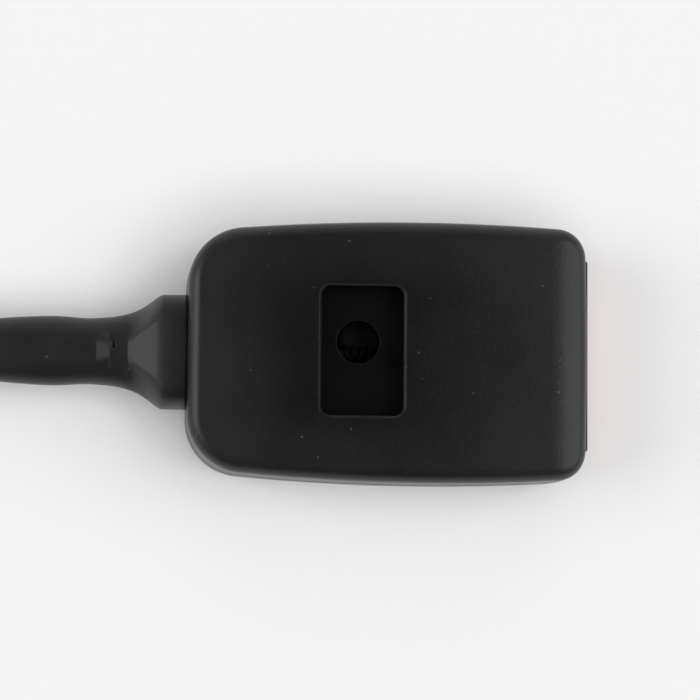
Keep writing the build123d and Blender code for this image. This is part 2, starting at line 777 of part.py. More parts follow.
def make_cable_thimble():
    """Grooved steel ring that carries the rope's loop."""
    groove_floor = loop_radius - rope_radius
    half_height = frame_bottom_z - parting_z
    with BuildPart() as thimble:
        with BuildSketch(Plane.XZ):
            with Locations((loop_x + rivet_radius + crimp_gap, parting_z)):
                Rectangle(
                    groove_floor + thimble_flange - rivet_radius, 2 * half_height, align=(Align.MIN, Align.CENTER)
                )
            with Locations((loop_x + loop_radius, parting_z)):
                RegularPolygon(
                    rope_radius + crimp_gap, groove_sides, major_radius=False, mode=Mode.SUBTRACT
                )
        revolve(axis=Axis((loop_x, 0, 0), (0, 0, 1)))
    return thimble.part


def make_loop_rivet():
    """Rivet through the frame, the thimble and the washer, with two coned heads."""
    lower_z = thimble_bottom_z - washer_thickness
    with BuildPart() as rivet:
        with BuildSketch(Plane.XY.offset(lower_z)):
            with Locations((loop_x, 0)):
                Circle(rivet_radius)
        extrude(amount=frame_top_z - lower_z)
        for face_z, way in ((frame_top_z, 1), (lower_z, -1)):
            with BuildSketch(Plane.XY.offset(face_z)):
                with Locations((loop_x, 0)):
                    Circle(rivet_head_radius)
            extrude(amount=way * rivet_head_thickness)
        chamfer(rivet.faces().sort_by(Axis.Z)[-1].edges(), rivet_head_thickness * 2 / 3)
        chamfer(rivet.faces().sort_by(Axis.Z)[0].edges(), rivet_head_thickness * 2 / 3)
    return rivet.part


def make_loop_washer():
    """Washer between the thimble and the rivet's lower head."""
    with BuildPart() as washer:
        with BuildSketch(Plane.XY.offset(thimble_bottom_z - washer_thickness)):
            with Locations((loop_x, 0)):
                Circle(washer_radius)
                Circle(rivet_radius + crimp_gap, mode=Mode.SUBTRACT)
        extrude(amount=washer_thickness)
    return washer.part


def make_cable_sleeve():
    """Moulded sleeve: flat round the two legs, flared to a collar that the covers grip by a groove."""
    groove_start_x = stalk_end_x - fit_gap
    groove_end_x = stalk_end_x + cover_wall + 2 * fit_gap
    with BuildPart() as sleeve:
        add(rounded_bar(sleeve_width, sleeve_thickness, sleeve_corner_radius, sleeve_start, flare_start_x))
        for station in range(flare_stations + 1):
            share = station / flare_stations
            swell = share ** flare_power
            with BuildSketch(Plane.YZ.offset(flare_start_x + share * flare_length)):
                with Locations((0, parting_z)):
                    RectangleRounded(
                        sleeve_width + swell * (collar_width - sleeve_width),
                        sleeve_thickness + swell * (collar_thickness - sleeve_thickness),
                        sleeve_corner_radius + swell * (collar_corner_radius - sleeve_corner_radius),
                    )
        loft()
        add(rounded_bar(collar_width, collar_thickness, collar_corner_radius, collar_start_x, groove_start_x))
        add(
            rounded_bar(
                collar_width - 2 * collar_groove,
                collar_thickness - 2 * collar_groove,
                collar_corner_radius - collar_groove,
                groove_start_x,
                groove_end_x,
            )
        )
        flange_end = groove_end_x + collar_flange_length
        add(rounded_bar(collar_width, collar_thickness, collar_corner_radius, groove_end_x, flange_end))
        leg_space = rope_leg(rope_radius + fit_gap)
        add(leg_space, mode=Mode.SUBTRACT)
        add(mirrored(leg_space), mode=Mode.SUBTRACT)
    return sleeve.part


# ---------------------------------------------------------------- anchor
def make_ferrule():
    """Steel ferrule swaged round both rope legs."""
    with BuildPart() as ferrule:
        add(
            rounded_bar(
                ferrule_width,
                ferrule_thickness,
                ferrule_corner_radius,
                ferrule_start,
                ferrule_start + ferrule_length,
            )
        )
        with BuildSketch(Plane.YZ.offset(rope_end_x)):
            with Locations((0, parting_z)):
                SlotCenterToCenter(2 * rope_leg_y, 2 * (rope_radius + crimp_gap))
        extrude(amount=ferrule_length, mode=Mode.SUBTRACT)
    return ferrule.part


def make_anchor_plate():
    """Pressed steel plate: flat round the bolt hole, then joggled up to the rope's height."""
    tail_bottom_z = anchor_tail_top_z - anchor_thickness
    slope = atan2(tail_bottom_z, joggle_length)
    shift = anchor_thickness * sin(slope) / (1 + cos(slope))
    lower_bends = ((joggle_start, 0), (joggle_start + joggle_length, tail_bottom_z))
    upper_bends = tuple((x - shift, z + anchor_thickness) for x, z in lower_bends)
    inner_bend = anchor_thickness / 2
    outer_bend = inner_bend + anchor_thickness
    start_x = -anchor_end_radius
    with BuildPart() as plate:
        with BuildSketch(Plane.XZ):
            with BuildLine():
                FilletPolyline(
                    (start_x, 0), *lower_bends, (anchor_tail_end, tail_bottom_z), radius=(outer_bend, inner_bend)
                )
                Line((anchor_tail_end, tail_bottom_z), (anchor_tail_end, anchor_tail_top_z))
                FilletPolyline(
                    (anchor_tail_end, anchor_tail_top_z),
                    *reversed(upper_bends),
                    (start_x, anchor_thickness),
                    radius=(outer_bend, inner_bend),
                )
                Line((start_x, anchor_thickness), (start_x, 0))
            make_face()
        extrude(amount=anchor_end_radius, both=True)
        with BuildSketch():
            Circle(anchor_end_radius)
            with Locations((joggle_start, 0)):
                Rectangle(
                    anchor_tail_end - joggle_start, anchor_tail_width, align=(Align.MIN, Align.CENTER)
                )
            make_hull()
        extrude(amount=housing_thickness, mode=Mode.INTERSECT)
        Hole(bolt_hole_radius)
    return plate.part


# ---------------------------------------------------------------- assembly
pieces = {
    "rear_cover": make_rear_cover(),
    "front_cover": make_front_cover(),
    "mouth_bezel": make_mouth_bezel(),
    "release_button": make_release_button(),
    "button_spring_left": make_button_spring(1),
    "button_spring_right": make_button_spring(-1),
    "lock_bar": make_lock_bar(),
    "frame": make_frame(),
    "tongue_guide": make_tongue_guide(),
    "latch": make_latch(),
    "latch_pin": make_latch_pin(),
    "latch_spring": make_latch_spring(),
    "ejector": make_ejector(),
    "ejector_spring": make_ejector_spring(),
    "spring_seat": make_spring_seat(),
    "wire_rope": make_wire_rope(),
    "cable_thimble": make_cable_thimble(),
    "loop_rivet": make_loop_rivet(),
    "loop_washer": make_loop_washer(),
    "cable_sleeve": make_cable_sleeve(),
    "ferrule": make_ferrule(),
    "anchor_plate": make_anchor_plate(),
}
for piece_name, piece in pieces.items():
    piece.label = piece_name
    export_step(piece, f"parts/{piece_name}.step")
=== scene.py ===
"""Dresses the seat belt buckle: its finishes, its coil springs, its stranded rope and its moulded sleeve.

Everything is in metres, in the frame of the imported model: the origin is the anchor bolt hole, +X runs
along the stalk to the tongue mouth, +Y runs across and +Z points out of the rear cover.
"""
import logging
import math
from dataclasses import dataclass
from enum import Enum
from typing import Iterable, Optional, Sequence, Union

import bmesh
import bpy
from mathutils import Matrix, Vector


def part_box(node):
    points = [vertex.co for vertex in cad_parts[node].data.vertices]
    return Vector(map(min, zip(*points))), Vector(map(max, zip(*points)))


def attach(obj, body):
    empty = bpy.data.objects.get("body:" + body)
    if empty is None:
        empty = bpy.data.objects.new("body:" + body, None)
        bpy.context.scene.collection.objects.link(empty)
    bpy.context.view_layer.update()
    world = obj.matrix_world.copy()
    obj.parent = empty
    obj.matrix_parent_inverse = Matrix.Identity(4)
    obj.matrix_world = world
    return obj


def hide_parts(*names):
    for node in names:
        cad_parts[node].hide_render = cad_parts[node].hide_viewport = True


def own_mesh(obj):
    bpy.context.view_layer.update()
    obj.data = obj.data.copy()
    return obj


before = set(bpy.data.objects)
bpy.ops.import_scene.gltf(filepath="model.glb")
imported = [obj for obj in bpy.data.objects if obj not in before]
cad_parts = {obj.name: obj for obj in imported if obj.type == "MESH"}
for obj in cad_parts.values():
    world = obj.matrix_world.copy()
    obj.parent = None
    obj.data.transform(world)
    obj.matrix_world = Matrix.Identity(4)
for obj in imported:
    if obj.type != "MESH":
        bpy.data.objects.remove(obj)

LOG = logging.getLogger("buckle")
MM = 0.001
WELD = 0.0001 * MM

Number = Union[int, float]
Color = tuple[float, float, float]
Span = tuple[float, float]
Stretch = tuple[float, float, float]


# ------------------------------------------------------------------ shader expressions
class Signal:
    """A number that varies over a surface or the sky. Arithmetic on it adds Math nodes to its graph."""

    def __init__(self, graph: "NodeGraph", socket: bpy.types.NodeSocket) -> None:
        """Wraps a socket of the graph."""
        self.graph = graph
        self.socket = socket

    def _math(self, operation: str, first: "Term", second: "Term") -> "Signal":
        """Adds one Math node."""
        node = self.graph.add("ShaderNodeMath", {"operation": operation}, {0: first, 1: second})
        return Signal(self.graph, node.outputs[0])

    def __add__(self, other: "Term") -> "Signal":
        """Adds."""
        return self._math("ADD", self, other)

    def __radd__(self, other: "Term") -> "Signal":
        """Adds to a number."""
        return self._math("ADD", other, self)

    def __sub__(self, other: "Term") -> "Signal":
        """Subtracts."""
        return self._math("SUBTRACT", self, other)

    def __rsub__(self, other: "Term") -> "Signal":
        """Subtracts from a number."""
        return self._math("SUBTRACT", other, self)

    def __mul__(self, other: "Term") -> "Signal":
        """Multiplies."""
        return self._math("MULTIPLY", self, other)

    def __rmul__(self, other: "Term") -> "Signal":
        """Multiplies a number."""
        return self._math("MULTIPLY", other, self)

    def larger(self, other: "Term") -> "Signal":
        """The larger of the two."""
        return self._math("MAXIMUM", self, other)

    def window(self, low: float, high: float) -> "Signal":
        """Zero on low's side, one on high's side and smooth between, whichever of them is larger."""
        node = self.graph.add(
            "ShaderNodeMapRange",
            {"interpolation_type": "SMOOTHSTEP"},
            {"Value": self, "From Min": low, "From Max": high},
        )
        return Signal(self.graph, node.outputs["Result"])


Term = Union[Signal, Number]
Shade = Union[Color, bpy.types.NodeSocket]


class NodeGraph:
    """The nodes of one material or world being built."""

    def __init__(self, owner: Union[bpy.types.Material, bpy.types.World]) -> None:
        """Empties the owner's node tree."""
        owner.use_nodes = True
        self.tree = owner.node_tree
        self.tree.nodes.clear()

    def add(
        self, kind: str, settings: Optional[dict] = None, inputs: Optional[dict] = None,
    ) -> bpy.types.Node:
        """Adds a node.

        Args:
            kind: The node's type.
            settings: Its properties, set first.
            inputs: Values, signals or sockets for its inputs, by name or number.

        Returns:
            The new node.
        """
        node = self.tree.nodes.new(kind)
        for key, value in (settings or {}).items():
            setattr(node, key, value)
        for key, value in (inputs or {}).items():
            if isinstance(value, Signal):
                value = value.socket
            if isinstance(value, bpy.types.NodeSocket):
                self.tree.links.new(value, node.inputs[key])
            else:
                node.inputs[key].default_value = value
        return node


class ShaderGraph(NodeGraph):
    """One material being built, around a Principled shader."""

    def __init__(self, name: str) -> None:
        """Starts an empty material of that name."""
        self.material = bpy.data.materials.new(name)
        super().__init__(self.material)
        self._coordinates: Optional[bpy.types.Node] = None

    def position(self) -> bpy.types.NodeSocket:
        """Object coordinates, which are metres in the part's own frame."""
        if self._coordinates is None:
            self._coordinates = self.add("ShaderNodeTexCoord")
        return self._coordinates.outputs["Object"]

    def stretched(self, scale: Stretch) -> bpy.types.NodeSocket:
        """Object coordinates multiplied axis by axis, for grain that runs one way."""
        node = self.add("ShaderNodeMapping", None, {"Vector": self.position(), "Scale": scale})
        return node.outputs["Vector"]

    def noise(
        self, scale: float, detail: float = 3.0, roughness: float = 0.55,
        vector: Optional[bpy.types.NodeSocket] = None,
    ) -> Signal:
        """Cloudy noise between zero and one.

        Args:
            scale: Waves per metre.
            detail: Octaves.
            roughness: How strong the finer octaves are.
            vector: Coordinates, if not the plain Object coordinates.

        Returns:
            The noise as a signal.
        """
        node = self.add(
            "ShaderNodeTexNoise",
            None,
            {
                "Vector": vector or self.position(),
                "Scale": scale,
                "Detail": detail,
                "Roughness": roughness,
            },
        )
        return Signal(self, node.outputs["Fac"])

    def cells(self, scale: float) -> Signal:
        """Distance to the nearest point of a scattered set, in cells."""
        node = self.add("ShaderNodeTexVoronoi", None, {"Vector": self.position(), "Scale": scale})
        return Signal(self, node.outputs["Distance"])

    def lint(self, scale: float, size: float, patches: float) -> Signal:
        """Scattered specks of dust, one at their middles.

        Args:
            scale: Specks per metre, before the bare patches.
            size: Their radius, in the distance between them.
            patches: Waves per metre of the patches that hold any.

        Returns:
            The specks as a signal.
        """
        specks = (size - self.cells(scale)).window(0.0, 0.03)
        return specks * (self.noise(patches) - 0.5).window(0.0, 0.12)

    def edge_wear(self, radius: float) -> Signal:
        """Zero on open faces, rising to one along outer edges within the radius."""
        bevel = self.add("ShaderNodeBevel", {"samples": 4}, {"Radius": radius})
        geometry = self.add("ShaderNodeNewGeometry")
        dot = self.add(
            "ShaderNodeVectorMath",
            {"operation": "DOT_PRODUCT"},
            {0: bevel.outputs["Normal"], 1: geometry.outputs["Normal"]},
        )
        return 1.0 - Signal(self, dot.outputs["Value"])

    def soft_edges(self, radius: float) -> bpy.types.NodeSocket:
        """Normal that rounds every edge by the radius."""
        return self.add("ShaderNodeBevel", {"samples": 4}, {"Radius": radius}).outputs["Normal"]

    def along(self, axis: str) -> Signal:
        """One Object coordinate."""
        node = self.add("ShaderNodeSeparateXYZ", None, {0: self.position()})
        return Signal(self, node.outputs[axis])

    def blend(self, mask: Term, low: Shade, high: Shade) -> bpy.types.NodeSocket:
        """Colour that goes from low to high as the mask goes from zero to one."""
        ends = [end if isinstance(end, bpy.types.NodeSocket) else (*end, 1.0) for end in (low, high)]
        node = self.add(
            "ShaderNodeMix", {"data_type": "RGBA"}, {"Factor": mask, 6: ends[0], 7: ends[1]}
        )
        return node.outputs[2]

    def bump(
        self, height: Signal, depth: float, under: Optional[bpy.types.NodeSocket] = None,
    ) -> bpy.types.NodeSocket:
        """Normal of a surface raised by the height signal times the depth in metres."""
        inputs: dict = {"Height": height, "Distance": depth, "Strength": 1.0}
        if under is not None:
            inputs["Normal"] = under
        return self.add("ShaderNodeBump", None, inputs).outputs["Normal"]

    def finish(self, **sockets: Union[Term, Shade]) -> bpy.types.Material:
        """Adds the Principled shader.

        Args:
            sockets: Its inputs, with underscores for spaces in their names.

        Returns:
            The finished material.
        """
        inputs = {}
        for key, value in sockets.items():
            if isinstance(value, tuple) and len(value) == 3:
                value = (*value, 1.0)
            inputs[key.replace("_", " ")] = value
        shader = self.add("ShaderNodeBsdfPrincipled", None, inputs)
        self.add("ShaderNodeOutputMaterial", None, {"Surface": shader.outputs[0]})
        return self.material


# ------------------------------------------------------------------ finishes
class Slot(Enum):
    """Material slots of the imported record."""

    HOUSING = "housing_plastic"
    BEZEL = "bezel_plastic"
    BUTTON = "button_plastic"
    GUIDE = "guide_plastic"
    EJECTOR = "ejector_plastic"
    FRAME = "frame_steel"
    LATCH = "latch_steel"
    PIN = "pin_steel"
    SPRING = "spring_steel"
    ROPE = "rope_steel"
    SLEEVE = "sleeve_rubber"
    ANCHOR = "anchor_steel"


@dataclass(frozen=True)
class MouldedPlastic:
    """Moulded plastic: eroded mould grain, rubbed edges, faint flow clouds, a little dust and, where a
    colour for it is given, a painted highlight that lightens the ends and sides.

    Scales are waves per metre, and lengths are metres.
    """

    slot: Slot
    color: Color
    rubbed_color: Color
    roughness: float = 0.46
    cloud_scale: float = 70.0
    cloud_tint: float = 0.86
    grain_scale: float = 5200.0
    grain_depth: float = 0.000018
    pit_scale_share: float = 0.55
    streak_scale: float = 420.0
    streak_stretch: Stretch = (0.25, 1.0, 1.0)
    rub_radius: float = 0.0007
    rub_share: float = 0.55
    softness: float = 0.00035
    dust: float = 0.14
    dust_color: Color = (0.42, 0.40, 0.37)
    lint_scale: float = 330.0
    lint_size: float = 0.085
    lint_patch_scale: float = 160.0
    gloss: float = 0.5
    # Colour of a painted highlight that lightens a cover toward its ends and sides, placed by the spans
    # below; none leaves it out.
    painted_highlight_color: Optional[Color] = None
    stalk_end: Span = (128.0 * MM, 152.0 * MM)
    mouth_end: Span = (168.0 * MM, 210.0 * MM)
    side: Span = (10.0 * MM, 24.0 * MM)
    side_share: float = 0.45

    def _painted_highlight(self, graph: ShaderGraph, clouds: Signal) -> Signal:
        """Painted highlight: where a cover's colour is lightened to stand in for the light that its ends
        and sides catch.

        Args:
            graph: The material being built.
            clouds: Noise that makes the painted highlight patchy.

        Returns:
            About one at the ends, a share of it along the sides and zero between.
        """
        x, y = graph.along("X"), graph.along("Y")
        ends = x.window(*self.mouth_end) + (1.0 - x.window(*self.stalk_end))
        sides = y.window(*self.side) + (y * -1.0).window(*self.side)
        return (clouds * 0.6 + 0.7) * (1.0 - (1.0 - ends) * (1.0 - sides * self.side_share))

    def make(self) -> bpy.types.Material:
        """Builds the material."""
        graph = ShaderGraph(self.slot.value)
        clouds = graph.noise(self.cloud_scale)
        grain = graph.noise(self.grain_scale, 2.0, 0.5)
        pits = graph.cells(self.grain_scale * self.pit_scale_share)
        streaks = graph.noise(self.streak_scale, 4.0, 0.7, graph.stretched(self.streak_stretch))
        rubbed = (graph.edge_wear(self.rub_radius) * 2.2 + streaks * 0.5 - 0.35).window(0.1, 0.9)
        lint = graph.lint(self.lint_scale, self.lint_size, self.lint_patch_scale)
        shade = graph.blend(clouds, tuple(self.cloud_tint * part for part in self.color), self.color)
        # Painted highlight: the colour lightens toward the ends and sides in place of light.
        if self.painted_highlight_color is not None:
            shade = graph.blend(self._painted_highlight(graph, clouds), shade, self.painted_highlight_color)
        shade = graph.blend(rubbed * self.rub_share, shade, self.rubbed_color)
        shade = graph.blend(lint * self.dust, shade, self.dust_color)
        height = grain * 0.6 + pits * 0.4 + streaks * 0.25
        roughness = self.roughness + (clouds - 0.5) * 0.14 + (grain - 0.5) * 0.10
        roughness = roughness - rubbed * 0.10 + lint * 0.3
        normal = graph.bump(height, self.grain_depth, graph.soft_edges(self.softness))
        return graph.finish(
            Base_Color=shade, Roughness=roughness, Specular_IOR_Level=self.gloss, Normal=normal
        )


@dataclass(frozen=True)
class PressedSteel:
    """Pressed sheet under a thin plating or oxide: rolling grain, stains and bright edges."""

    slot: Slot
    color: Color
    stain_color: Color
    edge_color: Color
    roughness: float = 0.38
    metallic: float = 1.0
    stain_scale: float = 140.0
    spot_scale: float = 900.0
    grain_scale: float = 2600.0
    rolling: Stretch = (0.06, 1.0, 1.0)
    grain_depth: float = 0.000012
    edge_radius: float = 0.0004
    edge_share: float = 0.7
    softness: float = 0.00025

    def make(self) -> bpy.types.Material:
        """Builds the material."""
        graph = ShaderGraph(self.slot.value)
        stains = graph.noise(self.stain_scale, 5.0, 0.62)
        spots = graph.noise(self.spot_scale, 3.0, 0.6)
        rolled = graph.noise(self.grain_scale, 4.0, 0.7, graph.stretched(self.rolling))
        worn = (graph.edge_wear(self.edge_radius) * 2.4 + spots * 0.4 - 0.25).window(0.1, 0.8)
        shade = graph.blend(stains.window(0.32, 0.68), self.stain_color, self.color)
        shade = graph.blend(worn * self.edge_share, shade, self.edge_color)
        roughness = self.roughness + (stains - 0.5) * 0.22 + (rolled - 0.5) * 0.16 - worn * 0.08
        height = rolled * 0.6 + spots * 0.4
        normal = graph.bump(height, self.grain_depth, graph.soft_edges(self.softness))
        return graph.finish(Base_Color=shade, Roughness=roughness, Metallic=self.metallic, Normal=normal)


@dataclass(frozen=True)
class DrawnWire:
    """Drawn wire: die lines along it and a thin film of dark grease in the hollows."""

    slot: Slot
    color: Color
    grease_color: Color
    roughness: float = 0.32
    film_scale: float = 320.0
    line_scale: float = 6000.0
    line_depth: float = 0.00001

    def make(self) -> bpy.types.Material:
        """Builds the material."""
        graph = ShaderGraph(self.slot.value)
        film = graph.noise(self.film_scale, 4.0, 0.6)
        lines = graph.noise(self.line_scale, 3.0, 0.6)
        shade = graph.blend(film.window(0.38, 0.66), self.grease_color, self.color)
        roughness = self.roughness + (film - 0.5) * 0.3 + (lines - 0.5) * 0.12
        normal = graph.bump(lines, self.line_depth)
        return graph.finish(Base_Color=shade, Roughness=roughness, Metallic=1.0, Normal=normal)


@dataclass(frozen=True)
class MouldedRubber:
    """Soft sleeve: satin skin with fine pores, handling sheen on its high places and pale dust."""

    slot: Slot
    color: Color
    bloom_color: Color
    roughness: float = 0.52
    bloom_scale: float = 110.0
    skin_scale: float = 900.0
    pore_scale: float = 3600.0
    pore_depth: float = 0.000035
    polish_radius: float = 0.0012
    dust: float = 0.12
    dust_color: Color = (0.40, 0.38, 0.35)
    lint_scale: float = 300.0
    lint_size: float = 0.09
    lint_patch_scale: float = 140.0

    def make(self) -> bpy.types.Material:
        """Builds the material."""
        graph = ShaderGraph(self.slot.value)
        bloom = graph.noise(self.bloom_scale, 5.0, 0.62)
        pores = graph.cells(self.pore_scale)
        skin = graph.noise(self.skin_scale, 4.0, 0.6)
        lint = graph.lint(self.lint_scale, self.lint_size, self.lint_patch_scale)
        polish = graph.edge_wear(self.polish_radius).window(0.02, 0.4)
        shade = graph.blend(bloom.window(0.4, 0.75) * 0.6, self.color, self.bloom_color)
        shade = graph.blend(lint * self.dust, shade, self.dust_color)
        roughness = self.roughness + (bloom - 0.5) * 0.18 + (skin - 0.5) * 0.16 - polish * 0.12
        normal = graph.bump(skin * 0.7 + pores * 0.3, self.pore_depth)
        return graph.finish(Base_Color=shade, Roughness=roughness, Normal=normal)


FINISHES = (
    # The covers carry a painted highlight: their colour lightens toward their ends and sides in place of
    # light.
    MouldedPlastic(
        Slot.HOUSING, (0.0004, 0.00042, 0.00042), (0.018, 0.018, 0.018), roughness=0.35,
        grain_scale=1900.0, grain_depth=0.000045, gloss=0.43, painted_highlight_color=(0.0118, 0.0122, 0.0122),
    ),
    MouldedPlastic(
        Slot.BEZEL, (0.006, 0.006, 0.0062), (0.022, 0.022, 0.021), roughness=0.38, grain_scale=3000.0,
        grain_depth=0.000008,
    ),
    MouldedPlastic(
        Slot.BUTTON, (0.42, 0.016, 0.012), (0.50, 0.06, 0.045), roughness=0.36, grain_scale=2800.0,
        grain_depth=0.000006,
    ),
    MouldedPlastic(
        Slot.GUIDE, (0.58, 0.56, 0.50), (0.66, 0.64, 0.58), roughness=0.42, grain_scale=2600.0,
        grain_depth=0.000008, rub_radius=0.0005, dust=0.1,
    ),
    # The ejector and spring seat are near-black as painted shade: their colour is darkened to stand in
    # for the shade inside the sight hole.
    MouldedPlastic(
        Slot.EJECTOR, (0.0022, 0.0022, 0.0023), (0.02, 0.02, 0.02), roughness=0.60, grain_scale=2600.0,
        grain_depth=0.000008, gloss=0.16,
    ),
    # Black phosphated frame, made darker still as painted shade of the housing's inside seen through the
    # window.
    PressedSteel(
        Slot.FRAME, (0.0030, 0.0029, 0.0027), (0.0018, 0.0018, 0.0017), (0.08, 0.078, 0.072),
        roughness=0.55, metallic=0.75,
    ),
    # The latch's steel is darkened as painted shade of the housing's inside seen through the window.
    PressedSteel(
        Slot.LATCH, (0.012, 0.0117, 0.0112), (0.006, 0.0058, 0.0055), (0.10, 0.097, 0.09),
        roughness=0.50, metallic=0.8,
    ),
    PressedSteel(
        Slot.PIN, (0.52, 0.51, 0.48), (0.36, 0.35, 0.33), (0.66, 0.65, 0.62), roughness=0.28,
        rolling=(1.0, 0.1, 1.0),
    ),
    # Dark oxide spring wire, made darker still as painted shade of the sight hole.
    DrawnWire(Slot.SPRING, (0.022, 0.0215, 0.0205), (0.010, 0.0095, 0.009), roughness=0.42),
    DrawnWire(Slot.ROPE, (0.50, 0.49, 0.47), (0.12, 0.11, 0.10), roughness=0.36, line_scale=5200.0),
    MouldedRubber(Slot.SLEEVE, (0.0056, 0.0054, 0.0050), (0.011, 0.0105, 0.0098), roughness=0.42),
    PressedSteel(Slot.ANCHOR, (0.46, 0.45, 0.42), (0.30, 0.29, 0.26), (0.60, 0.59, 0.56), roughness=0.36),
)


# ------------------------------------------------------------------ building helpers
def new_piece(name: str, shape: bmesh.types.BMesh, material: bpy.types.Material) -> bpy.types.Object:
    """Turns a bmesh into an object with its finish.

    Args:
        name: The piece's name.
        shape: Its mesh, which is freed.
        material: Its finish.

    Returns:
        The new object, at the origin.
    """
    bmesh.ops.remove_doubles(shape, verts=shape.verts, dist=WELD)
    bmesh.ops.recalc_face_normals(shape, faces=shape.faces)
    for face in shape.faces:
        face.smooth = True
    mesh = bpy.data.meshes.new(name)
    shape.to_mesh(mesh)
    shape.free()
    mesh.materials.append(material)
    piece = bpy.data.objects.new(name, mesh)
    bpy.context.scene.collection.objects.link(piece)
    LOG.info("%s: %d faces", name, len(mesh.polygons))
    return piece


def dress(nodes: Iterable[str], material: bpy.types.Material) -> None:
    """Gives CAD nodes their finish.

    Args:
        nodes: Names of the nodes.
        material: The finish.
    """
    for node in nodes:
        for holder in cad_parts[node].material_slots:
            holder.material = material
        LOG.info("%s: %s", node, material.name)


# ------------------------------------------------------------------ housing
@dataclass
class Housing:
    """The two covers, the mouth's bezel and the release button."""

    covers: tuple[str, ...] = ("rear_cover", "front_cover")

    def build(self, finishes: dict[Slot, bpy.types.Material]) -> None:
        """Dresses the covers, the bezel and the button."""
        dress(self.covers, finishes[Slot.HOUSING])
        dress(("mouth_bezel",), finishes[Slot.BEZEL])
        dress(("release_button",), finishes[Slot.BUTTON])


# ------------------------------------------------------------------ mechanism
@dataclass
class CoilSpring:
    """A compression spring with closed ends, in the space that its CAD tube holds."""

    node: str
    body: str
    joint: str
    outer_radius: float
    wire: float
    turns: float
    foot: Vector
    direction: Vector
    length: float
    stroke: float
    steps_per_turn: int = 28
    wire_sides: int = 10
    closed_pitch: float = 1.02

    def _wind(self, shape: bmesh.types.BMesh, ring: list, turns: float, rise: float) -> list:
        """Winds the wire's open end on.

        Args:
            shape: The mesh being built.
            ring: The wire's last section, as vertices and edges.
            turns: Turns to add.
            rise: How far they climb along the axis.

        Returns:
            The new last section.
        """
        steps = max(4, round(turns * self.steps_per_turn))
        result = bmesh.ops.spin(
            shape, geom=ring, cent=(0, 0, 0), axis=(0, 0, 1), dvec=(0, 0, rise / steps),
            angle=turns * math.tau, steps=steps, use_merge=False, use_duplicate=False,
        )
        return result["geom_last"]

    def build(self, material: bpy.types.Material) -> bpy.types.Object:
        """Builds the coil.

        Args:
            material: The wire's finish.

        Returns:
            The spring.
        """
        shape = bmesh.new()
        bmesh.ops.create_circle(
            shape, cap_ends=False, segments=self.wire_sides, radius=self.wire / 2,
            matrix=Matrix.Translation((self.outer_radius - self.wire / 2, 0, self.wire / 2))
            @ Matrix.Rotation(math.pi / 2, 4, "X"),
        )
        first = list(shape.edges)
        closed_rise = self.wire * self.closed_pitch
        ring = self._wind(shape, list(shape.verts) + first, 1.0, closed_rise)
        open_rise = self.length - self.wire - 2 * closed_rise
        ring = self._wind(shape, ring, self.turns, open_rise)
        ring = self._wind(shape, ring, 1.0, closed_rise)
        last = [part for part in ring if isinstance(part, bmesh.types.BMEdge)]
        bmesh.ops.edgeloop_fill(shape, edges=[edge for edge in first if edge.is_valid])
        bmesh.ops.edgeloop_fill(shape, edges=last)
        turn = self.direction.to_track_quat("Z", "Y").to_matrix().to_4x4()
        bmesh.ops.transform(shape, matrix=Matrix.Translation(self.foot) @ turn, verts=shape.verts)
        piece = new_piece(self.node + "_coil", shape, material)
        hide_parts(self.node)
        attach(piece, self.body)
        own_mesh(piece)
        return piece


@dataclass
class Mechanism:
    """Frame, tongue guide, latch, lock bar, ejector, spring seat and the springs."""

    button_spring_radius: float = 2.2 * MM
    button_spring_wire: float = 0.7 * MM
    button_spring_turns: float = 7.0
    latch_spring_radius: float = 2.4 * MM
    latch_spring_wire: float = 0.6 * MM
    latch_spring_turns: float = 4.0
    ejector_spring_radius: float = 1.75 * MM
    ejector_spring_wire: float = 0.5 * MM
    ejector_spring_turns: float = 14.0
    button_travel: float = 6.0 * MM
    ejector_travel: float = 9.0 * MM
    latch_angle: float = math.radians(7.5)
    latch_arm: float = 10.0 * MM

    def _spring(
        self, node: str, joint: str, radius: float, wire: float, turns: float, stroke: float,
        axis: str = "X",
    ) -> CoilSpring:
        """Sizes one spring from the box of its CAD tube.

        Args:
            node: The tube's node.
            joint: Name of a joint, stored on the spring and not used.
            radius: The coil's outer radius.
            wire: The wire's diameter.
            turns: Open turns.
            stroke: A length, stored on the spring and not used.
            axis: The axis it stands along.

        Returns:
            The spring, not yet built.
        """
        low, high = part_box(node)
        along = "XYZ".index(axis)
        direction = Vector((float(axis == "X"), 0.0, float(axis == "Z")))
        foot = (low + high) / 2
        foot[along] = low[along]
        return CoilSpring(
            node, "housing", joint, radius, wire, turns, foot, direction, high[along] - low[along], stroke
        )

    def build(self, finishes: dict[Slot, bpy.types.Material]) -> None:
        """Dresses the frame and its moving pieces, and winds the springs."""
        dress(("frame",), finishes[Slot.FRAME])
        dress(("tongue_guide",), finishes[Slot.GUIDE])
        dress(("latch",), finishes[Slot.LATCH])
        dress(("latch_pin", "lock_bar"), finishes[Slot.PIN])
        dress(("ejector", "spring_seat"), finishes[Slot.EJECTOR])
        wire = finishes[Slot.SPRING]
        for side in ("left", "right"):
            self._spring(
                f"button_spring_{side}", "button_press", self.button_spring_radius,
                self.button_spring_wire, self.button_spring_turns, self.button_travel,
            ).build(wire)
        latch_drop = (self.latch_arm + self.latch_spring_radius) * math.sin(self.latch_angle)
        self._spring(
            "latch_spring", "latch_pivot", self.latch_spring_radius, self.latch_spring_wire,
            self.latch_spring_turns, latch_drop, "Z",
        ).build(wire)
        self._spring(
            "ejector_spring", "ejector_slide", self.ejector_spring_radius, self.ejector_spring_wire,
            self.ejector_spring_turns, self.ejector_travel,
        ).build(wire)


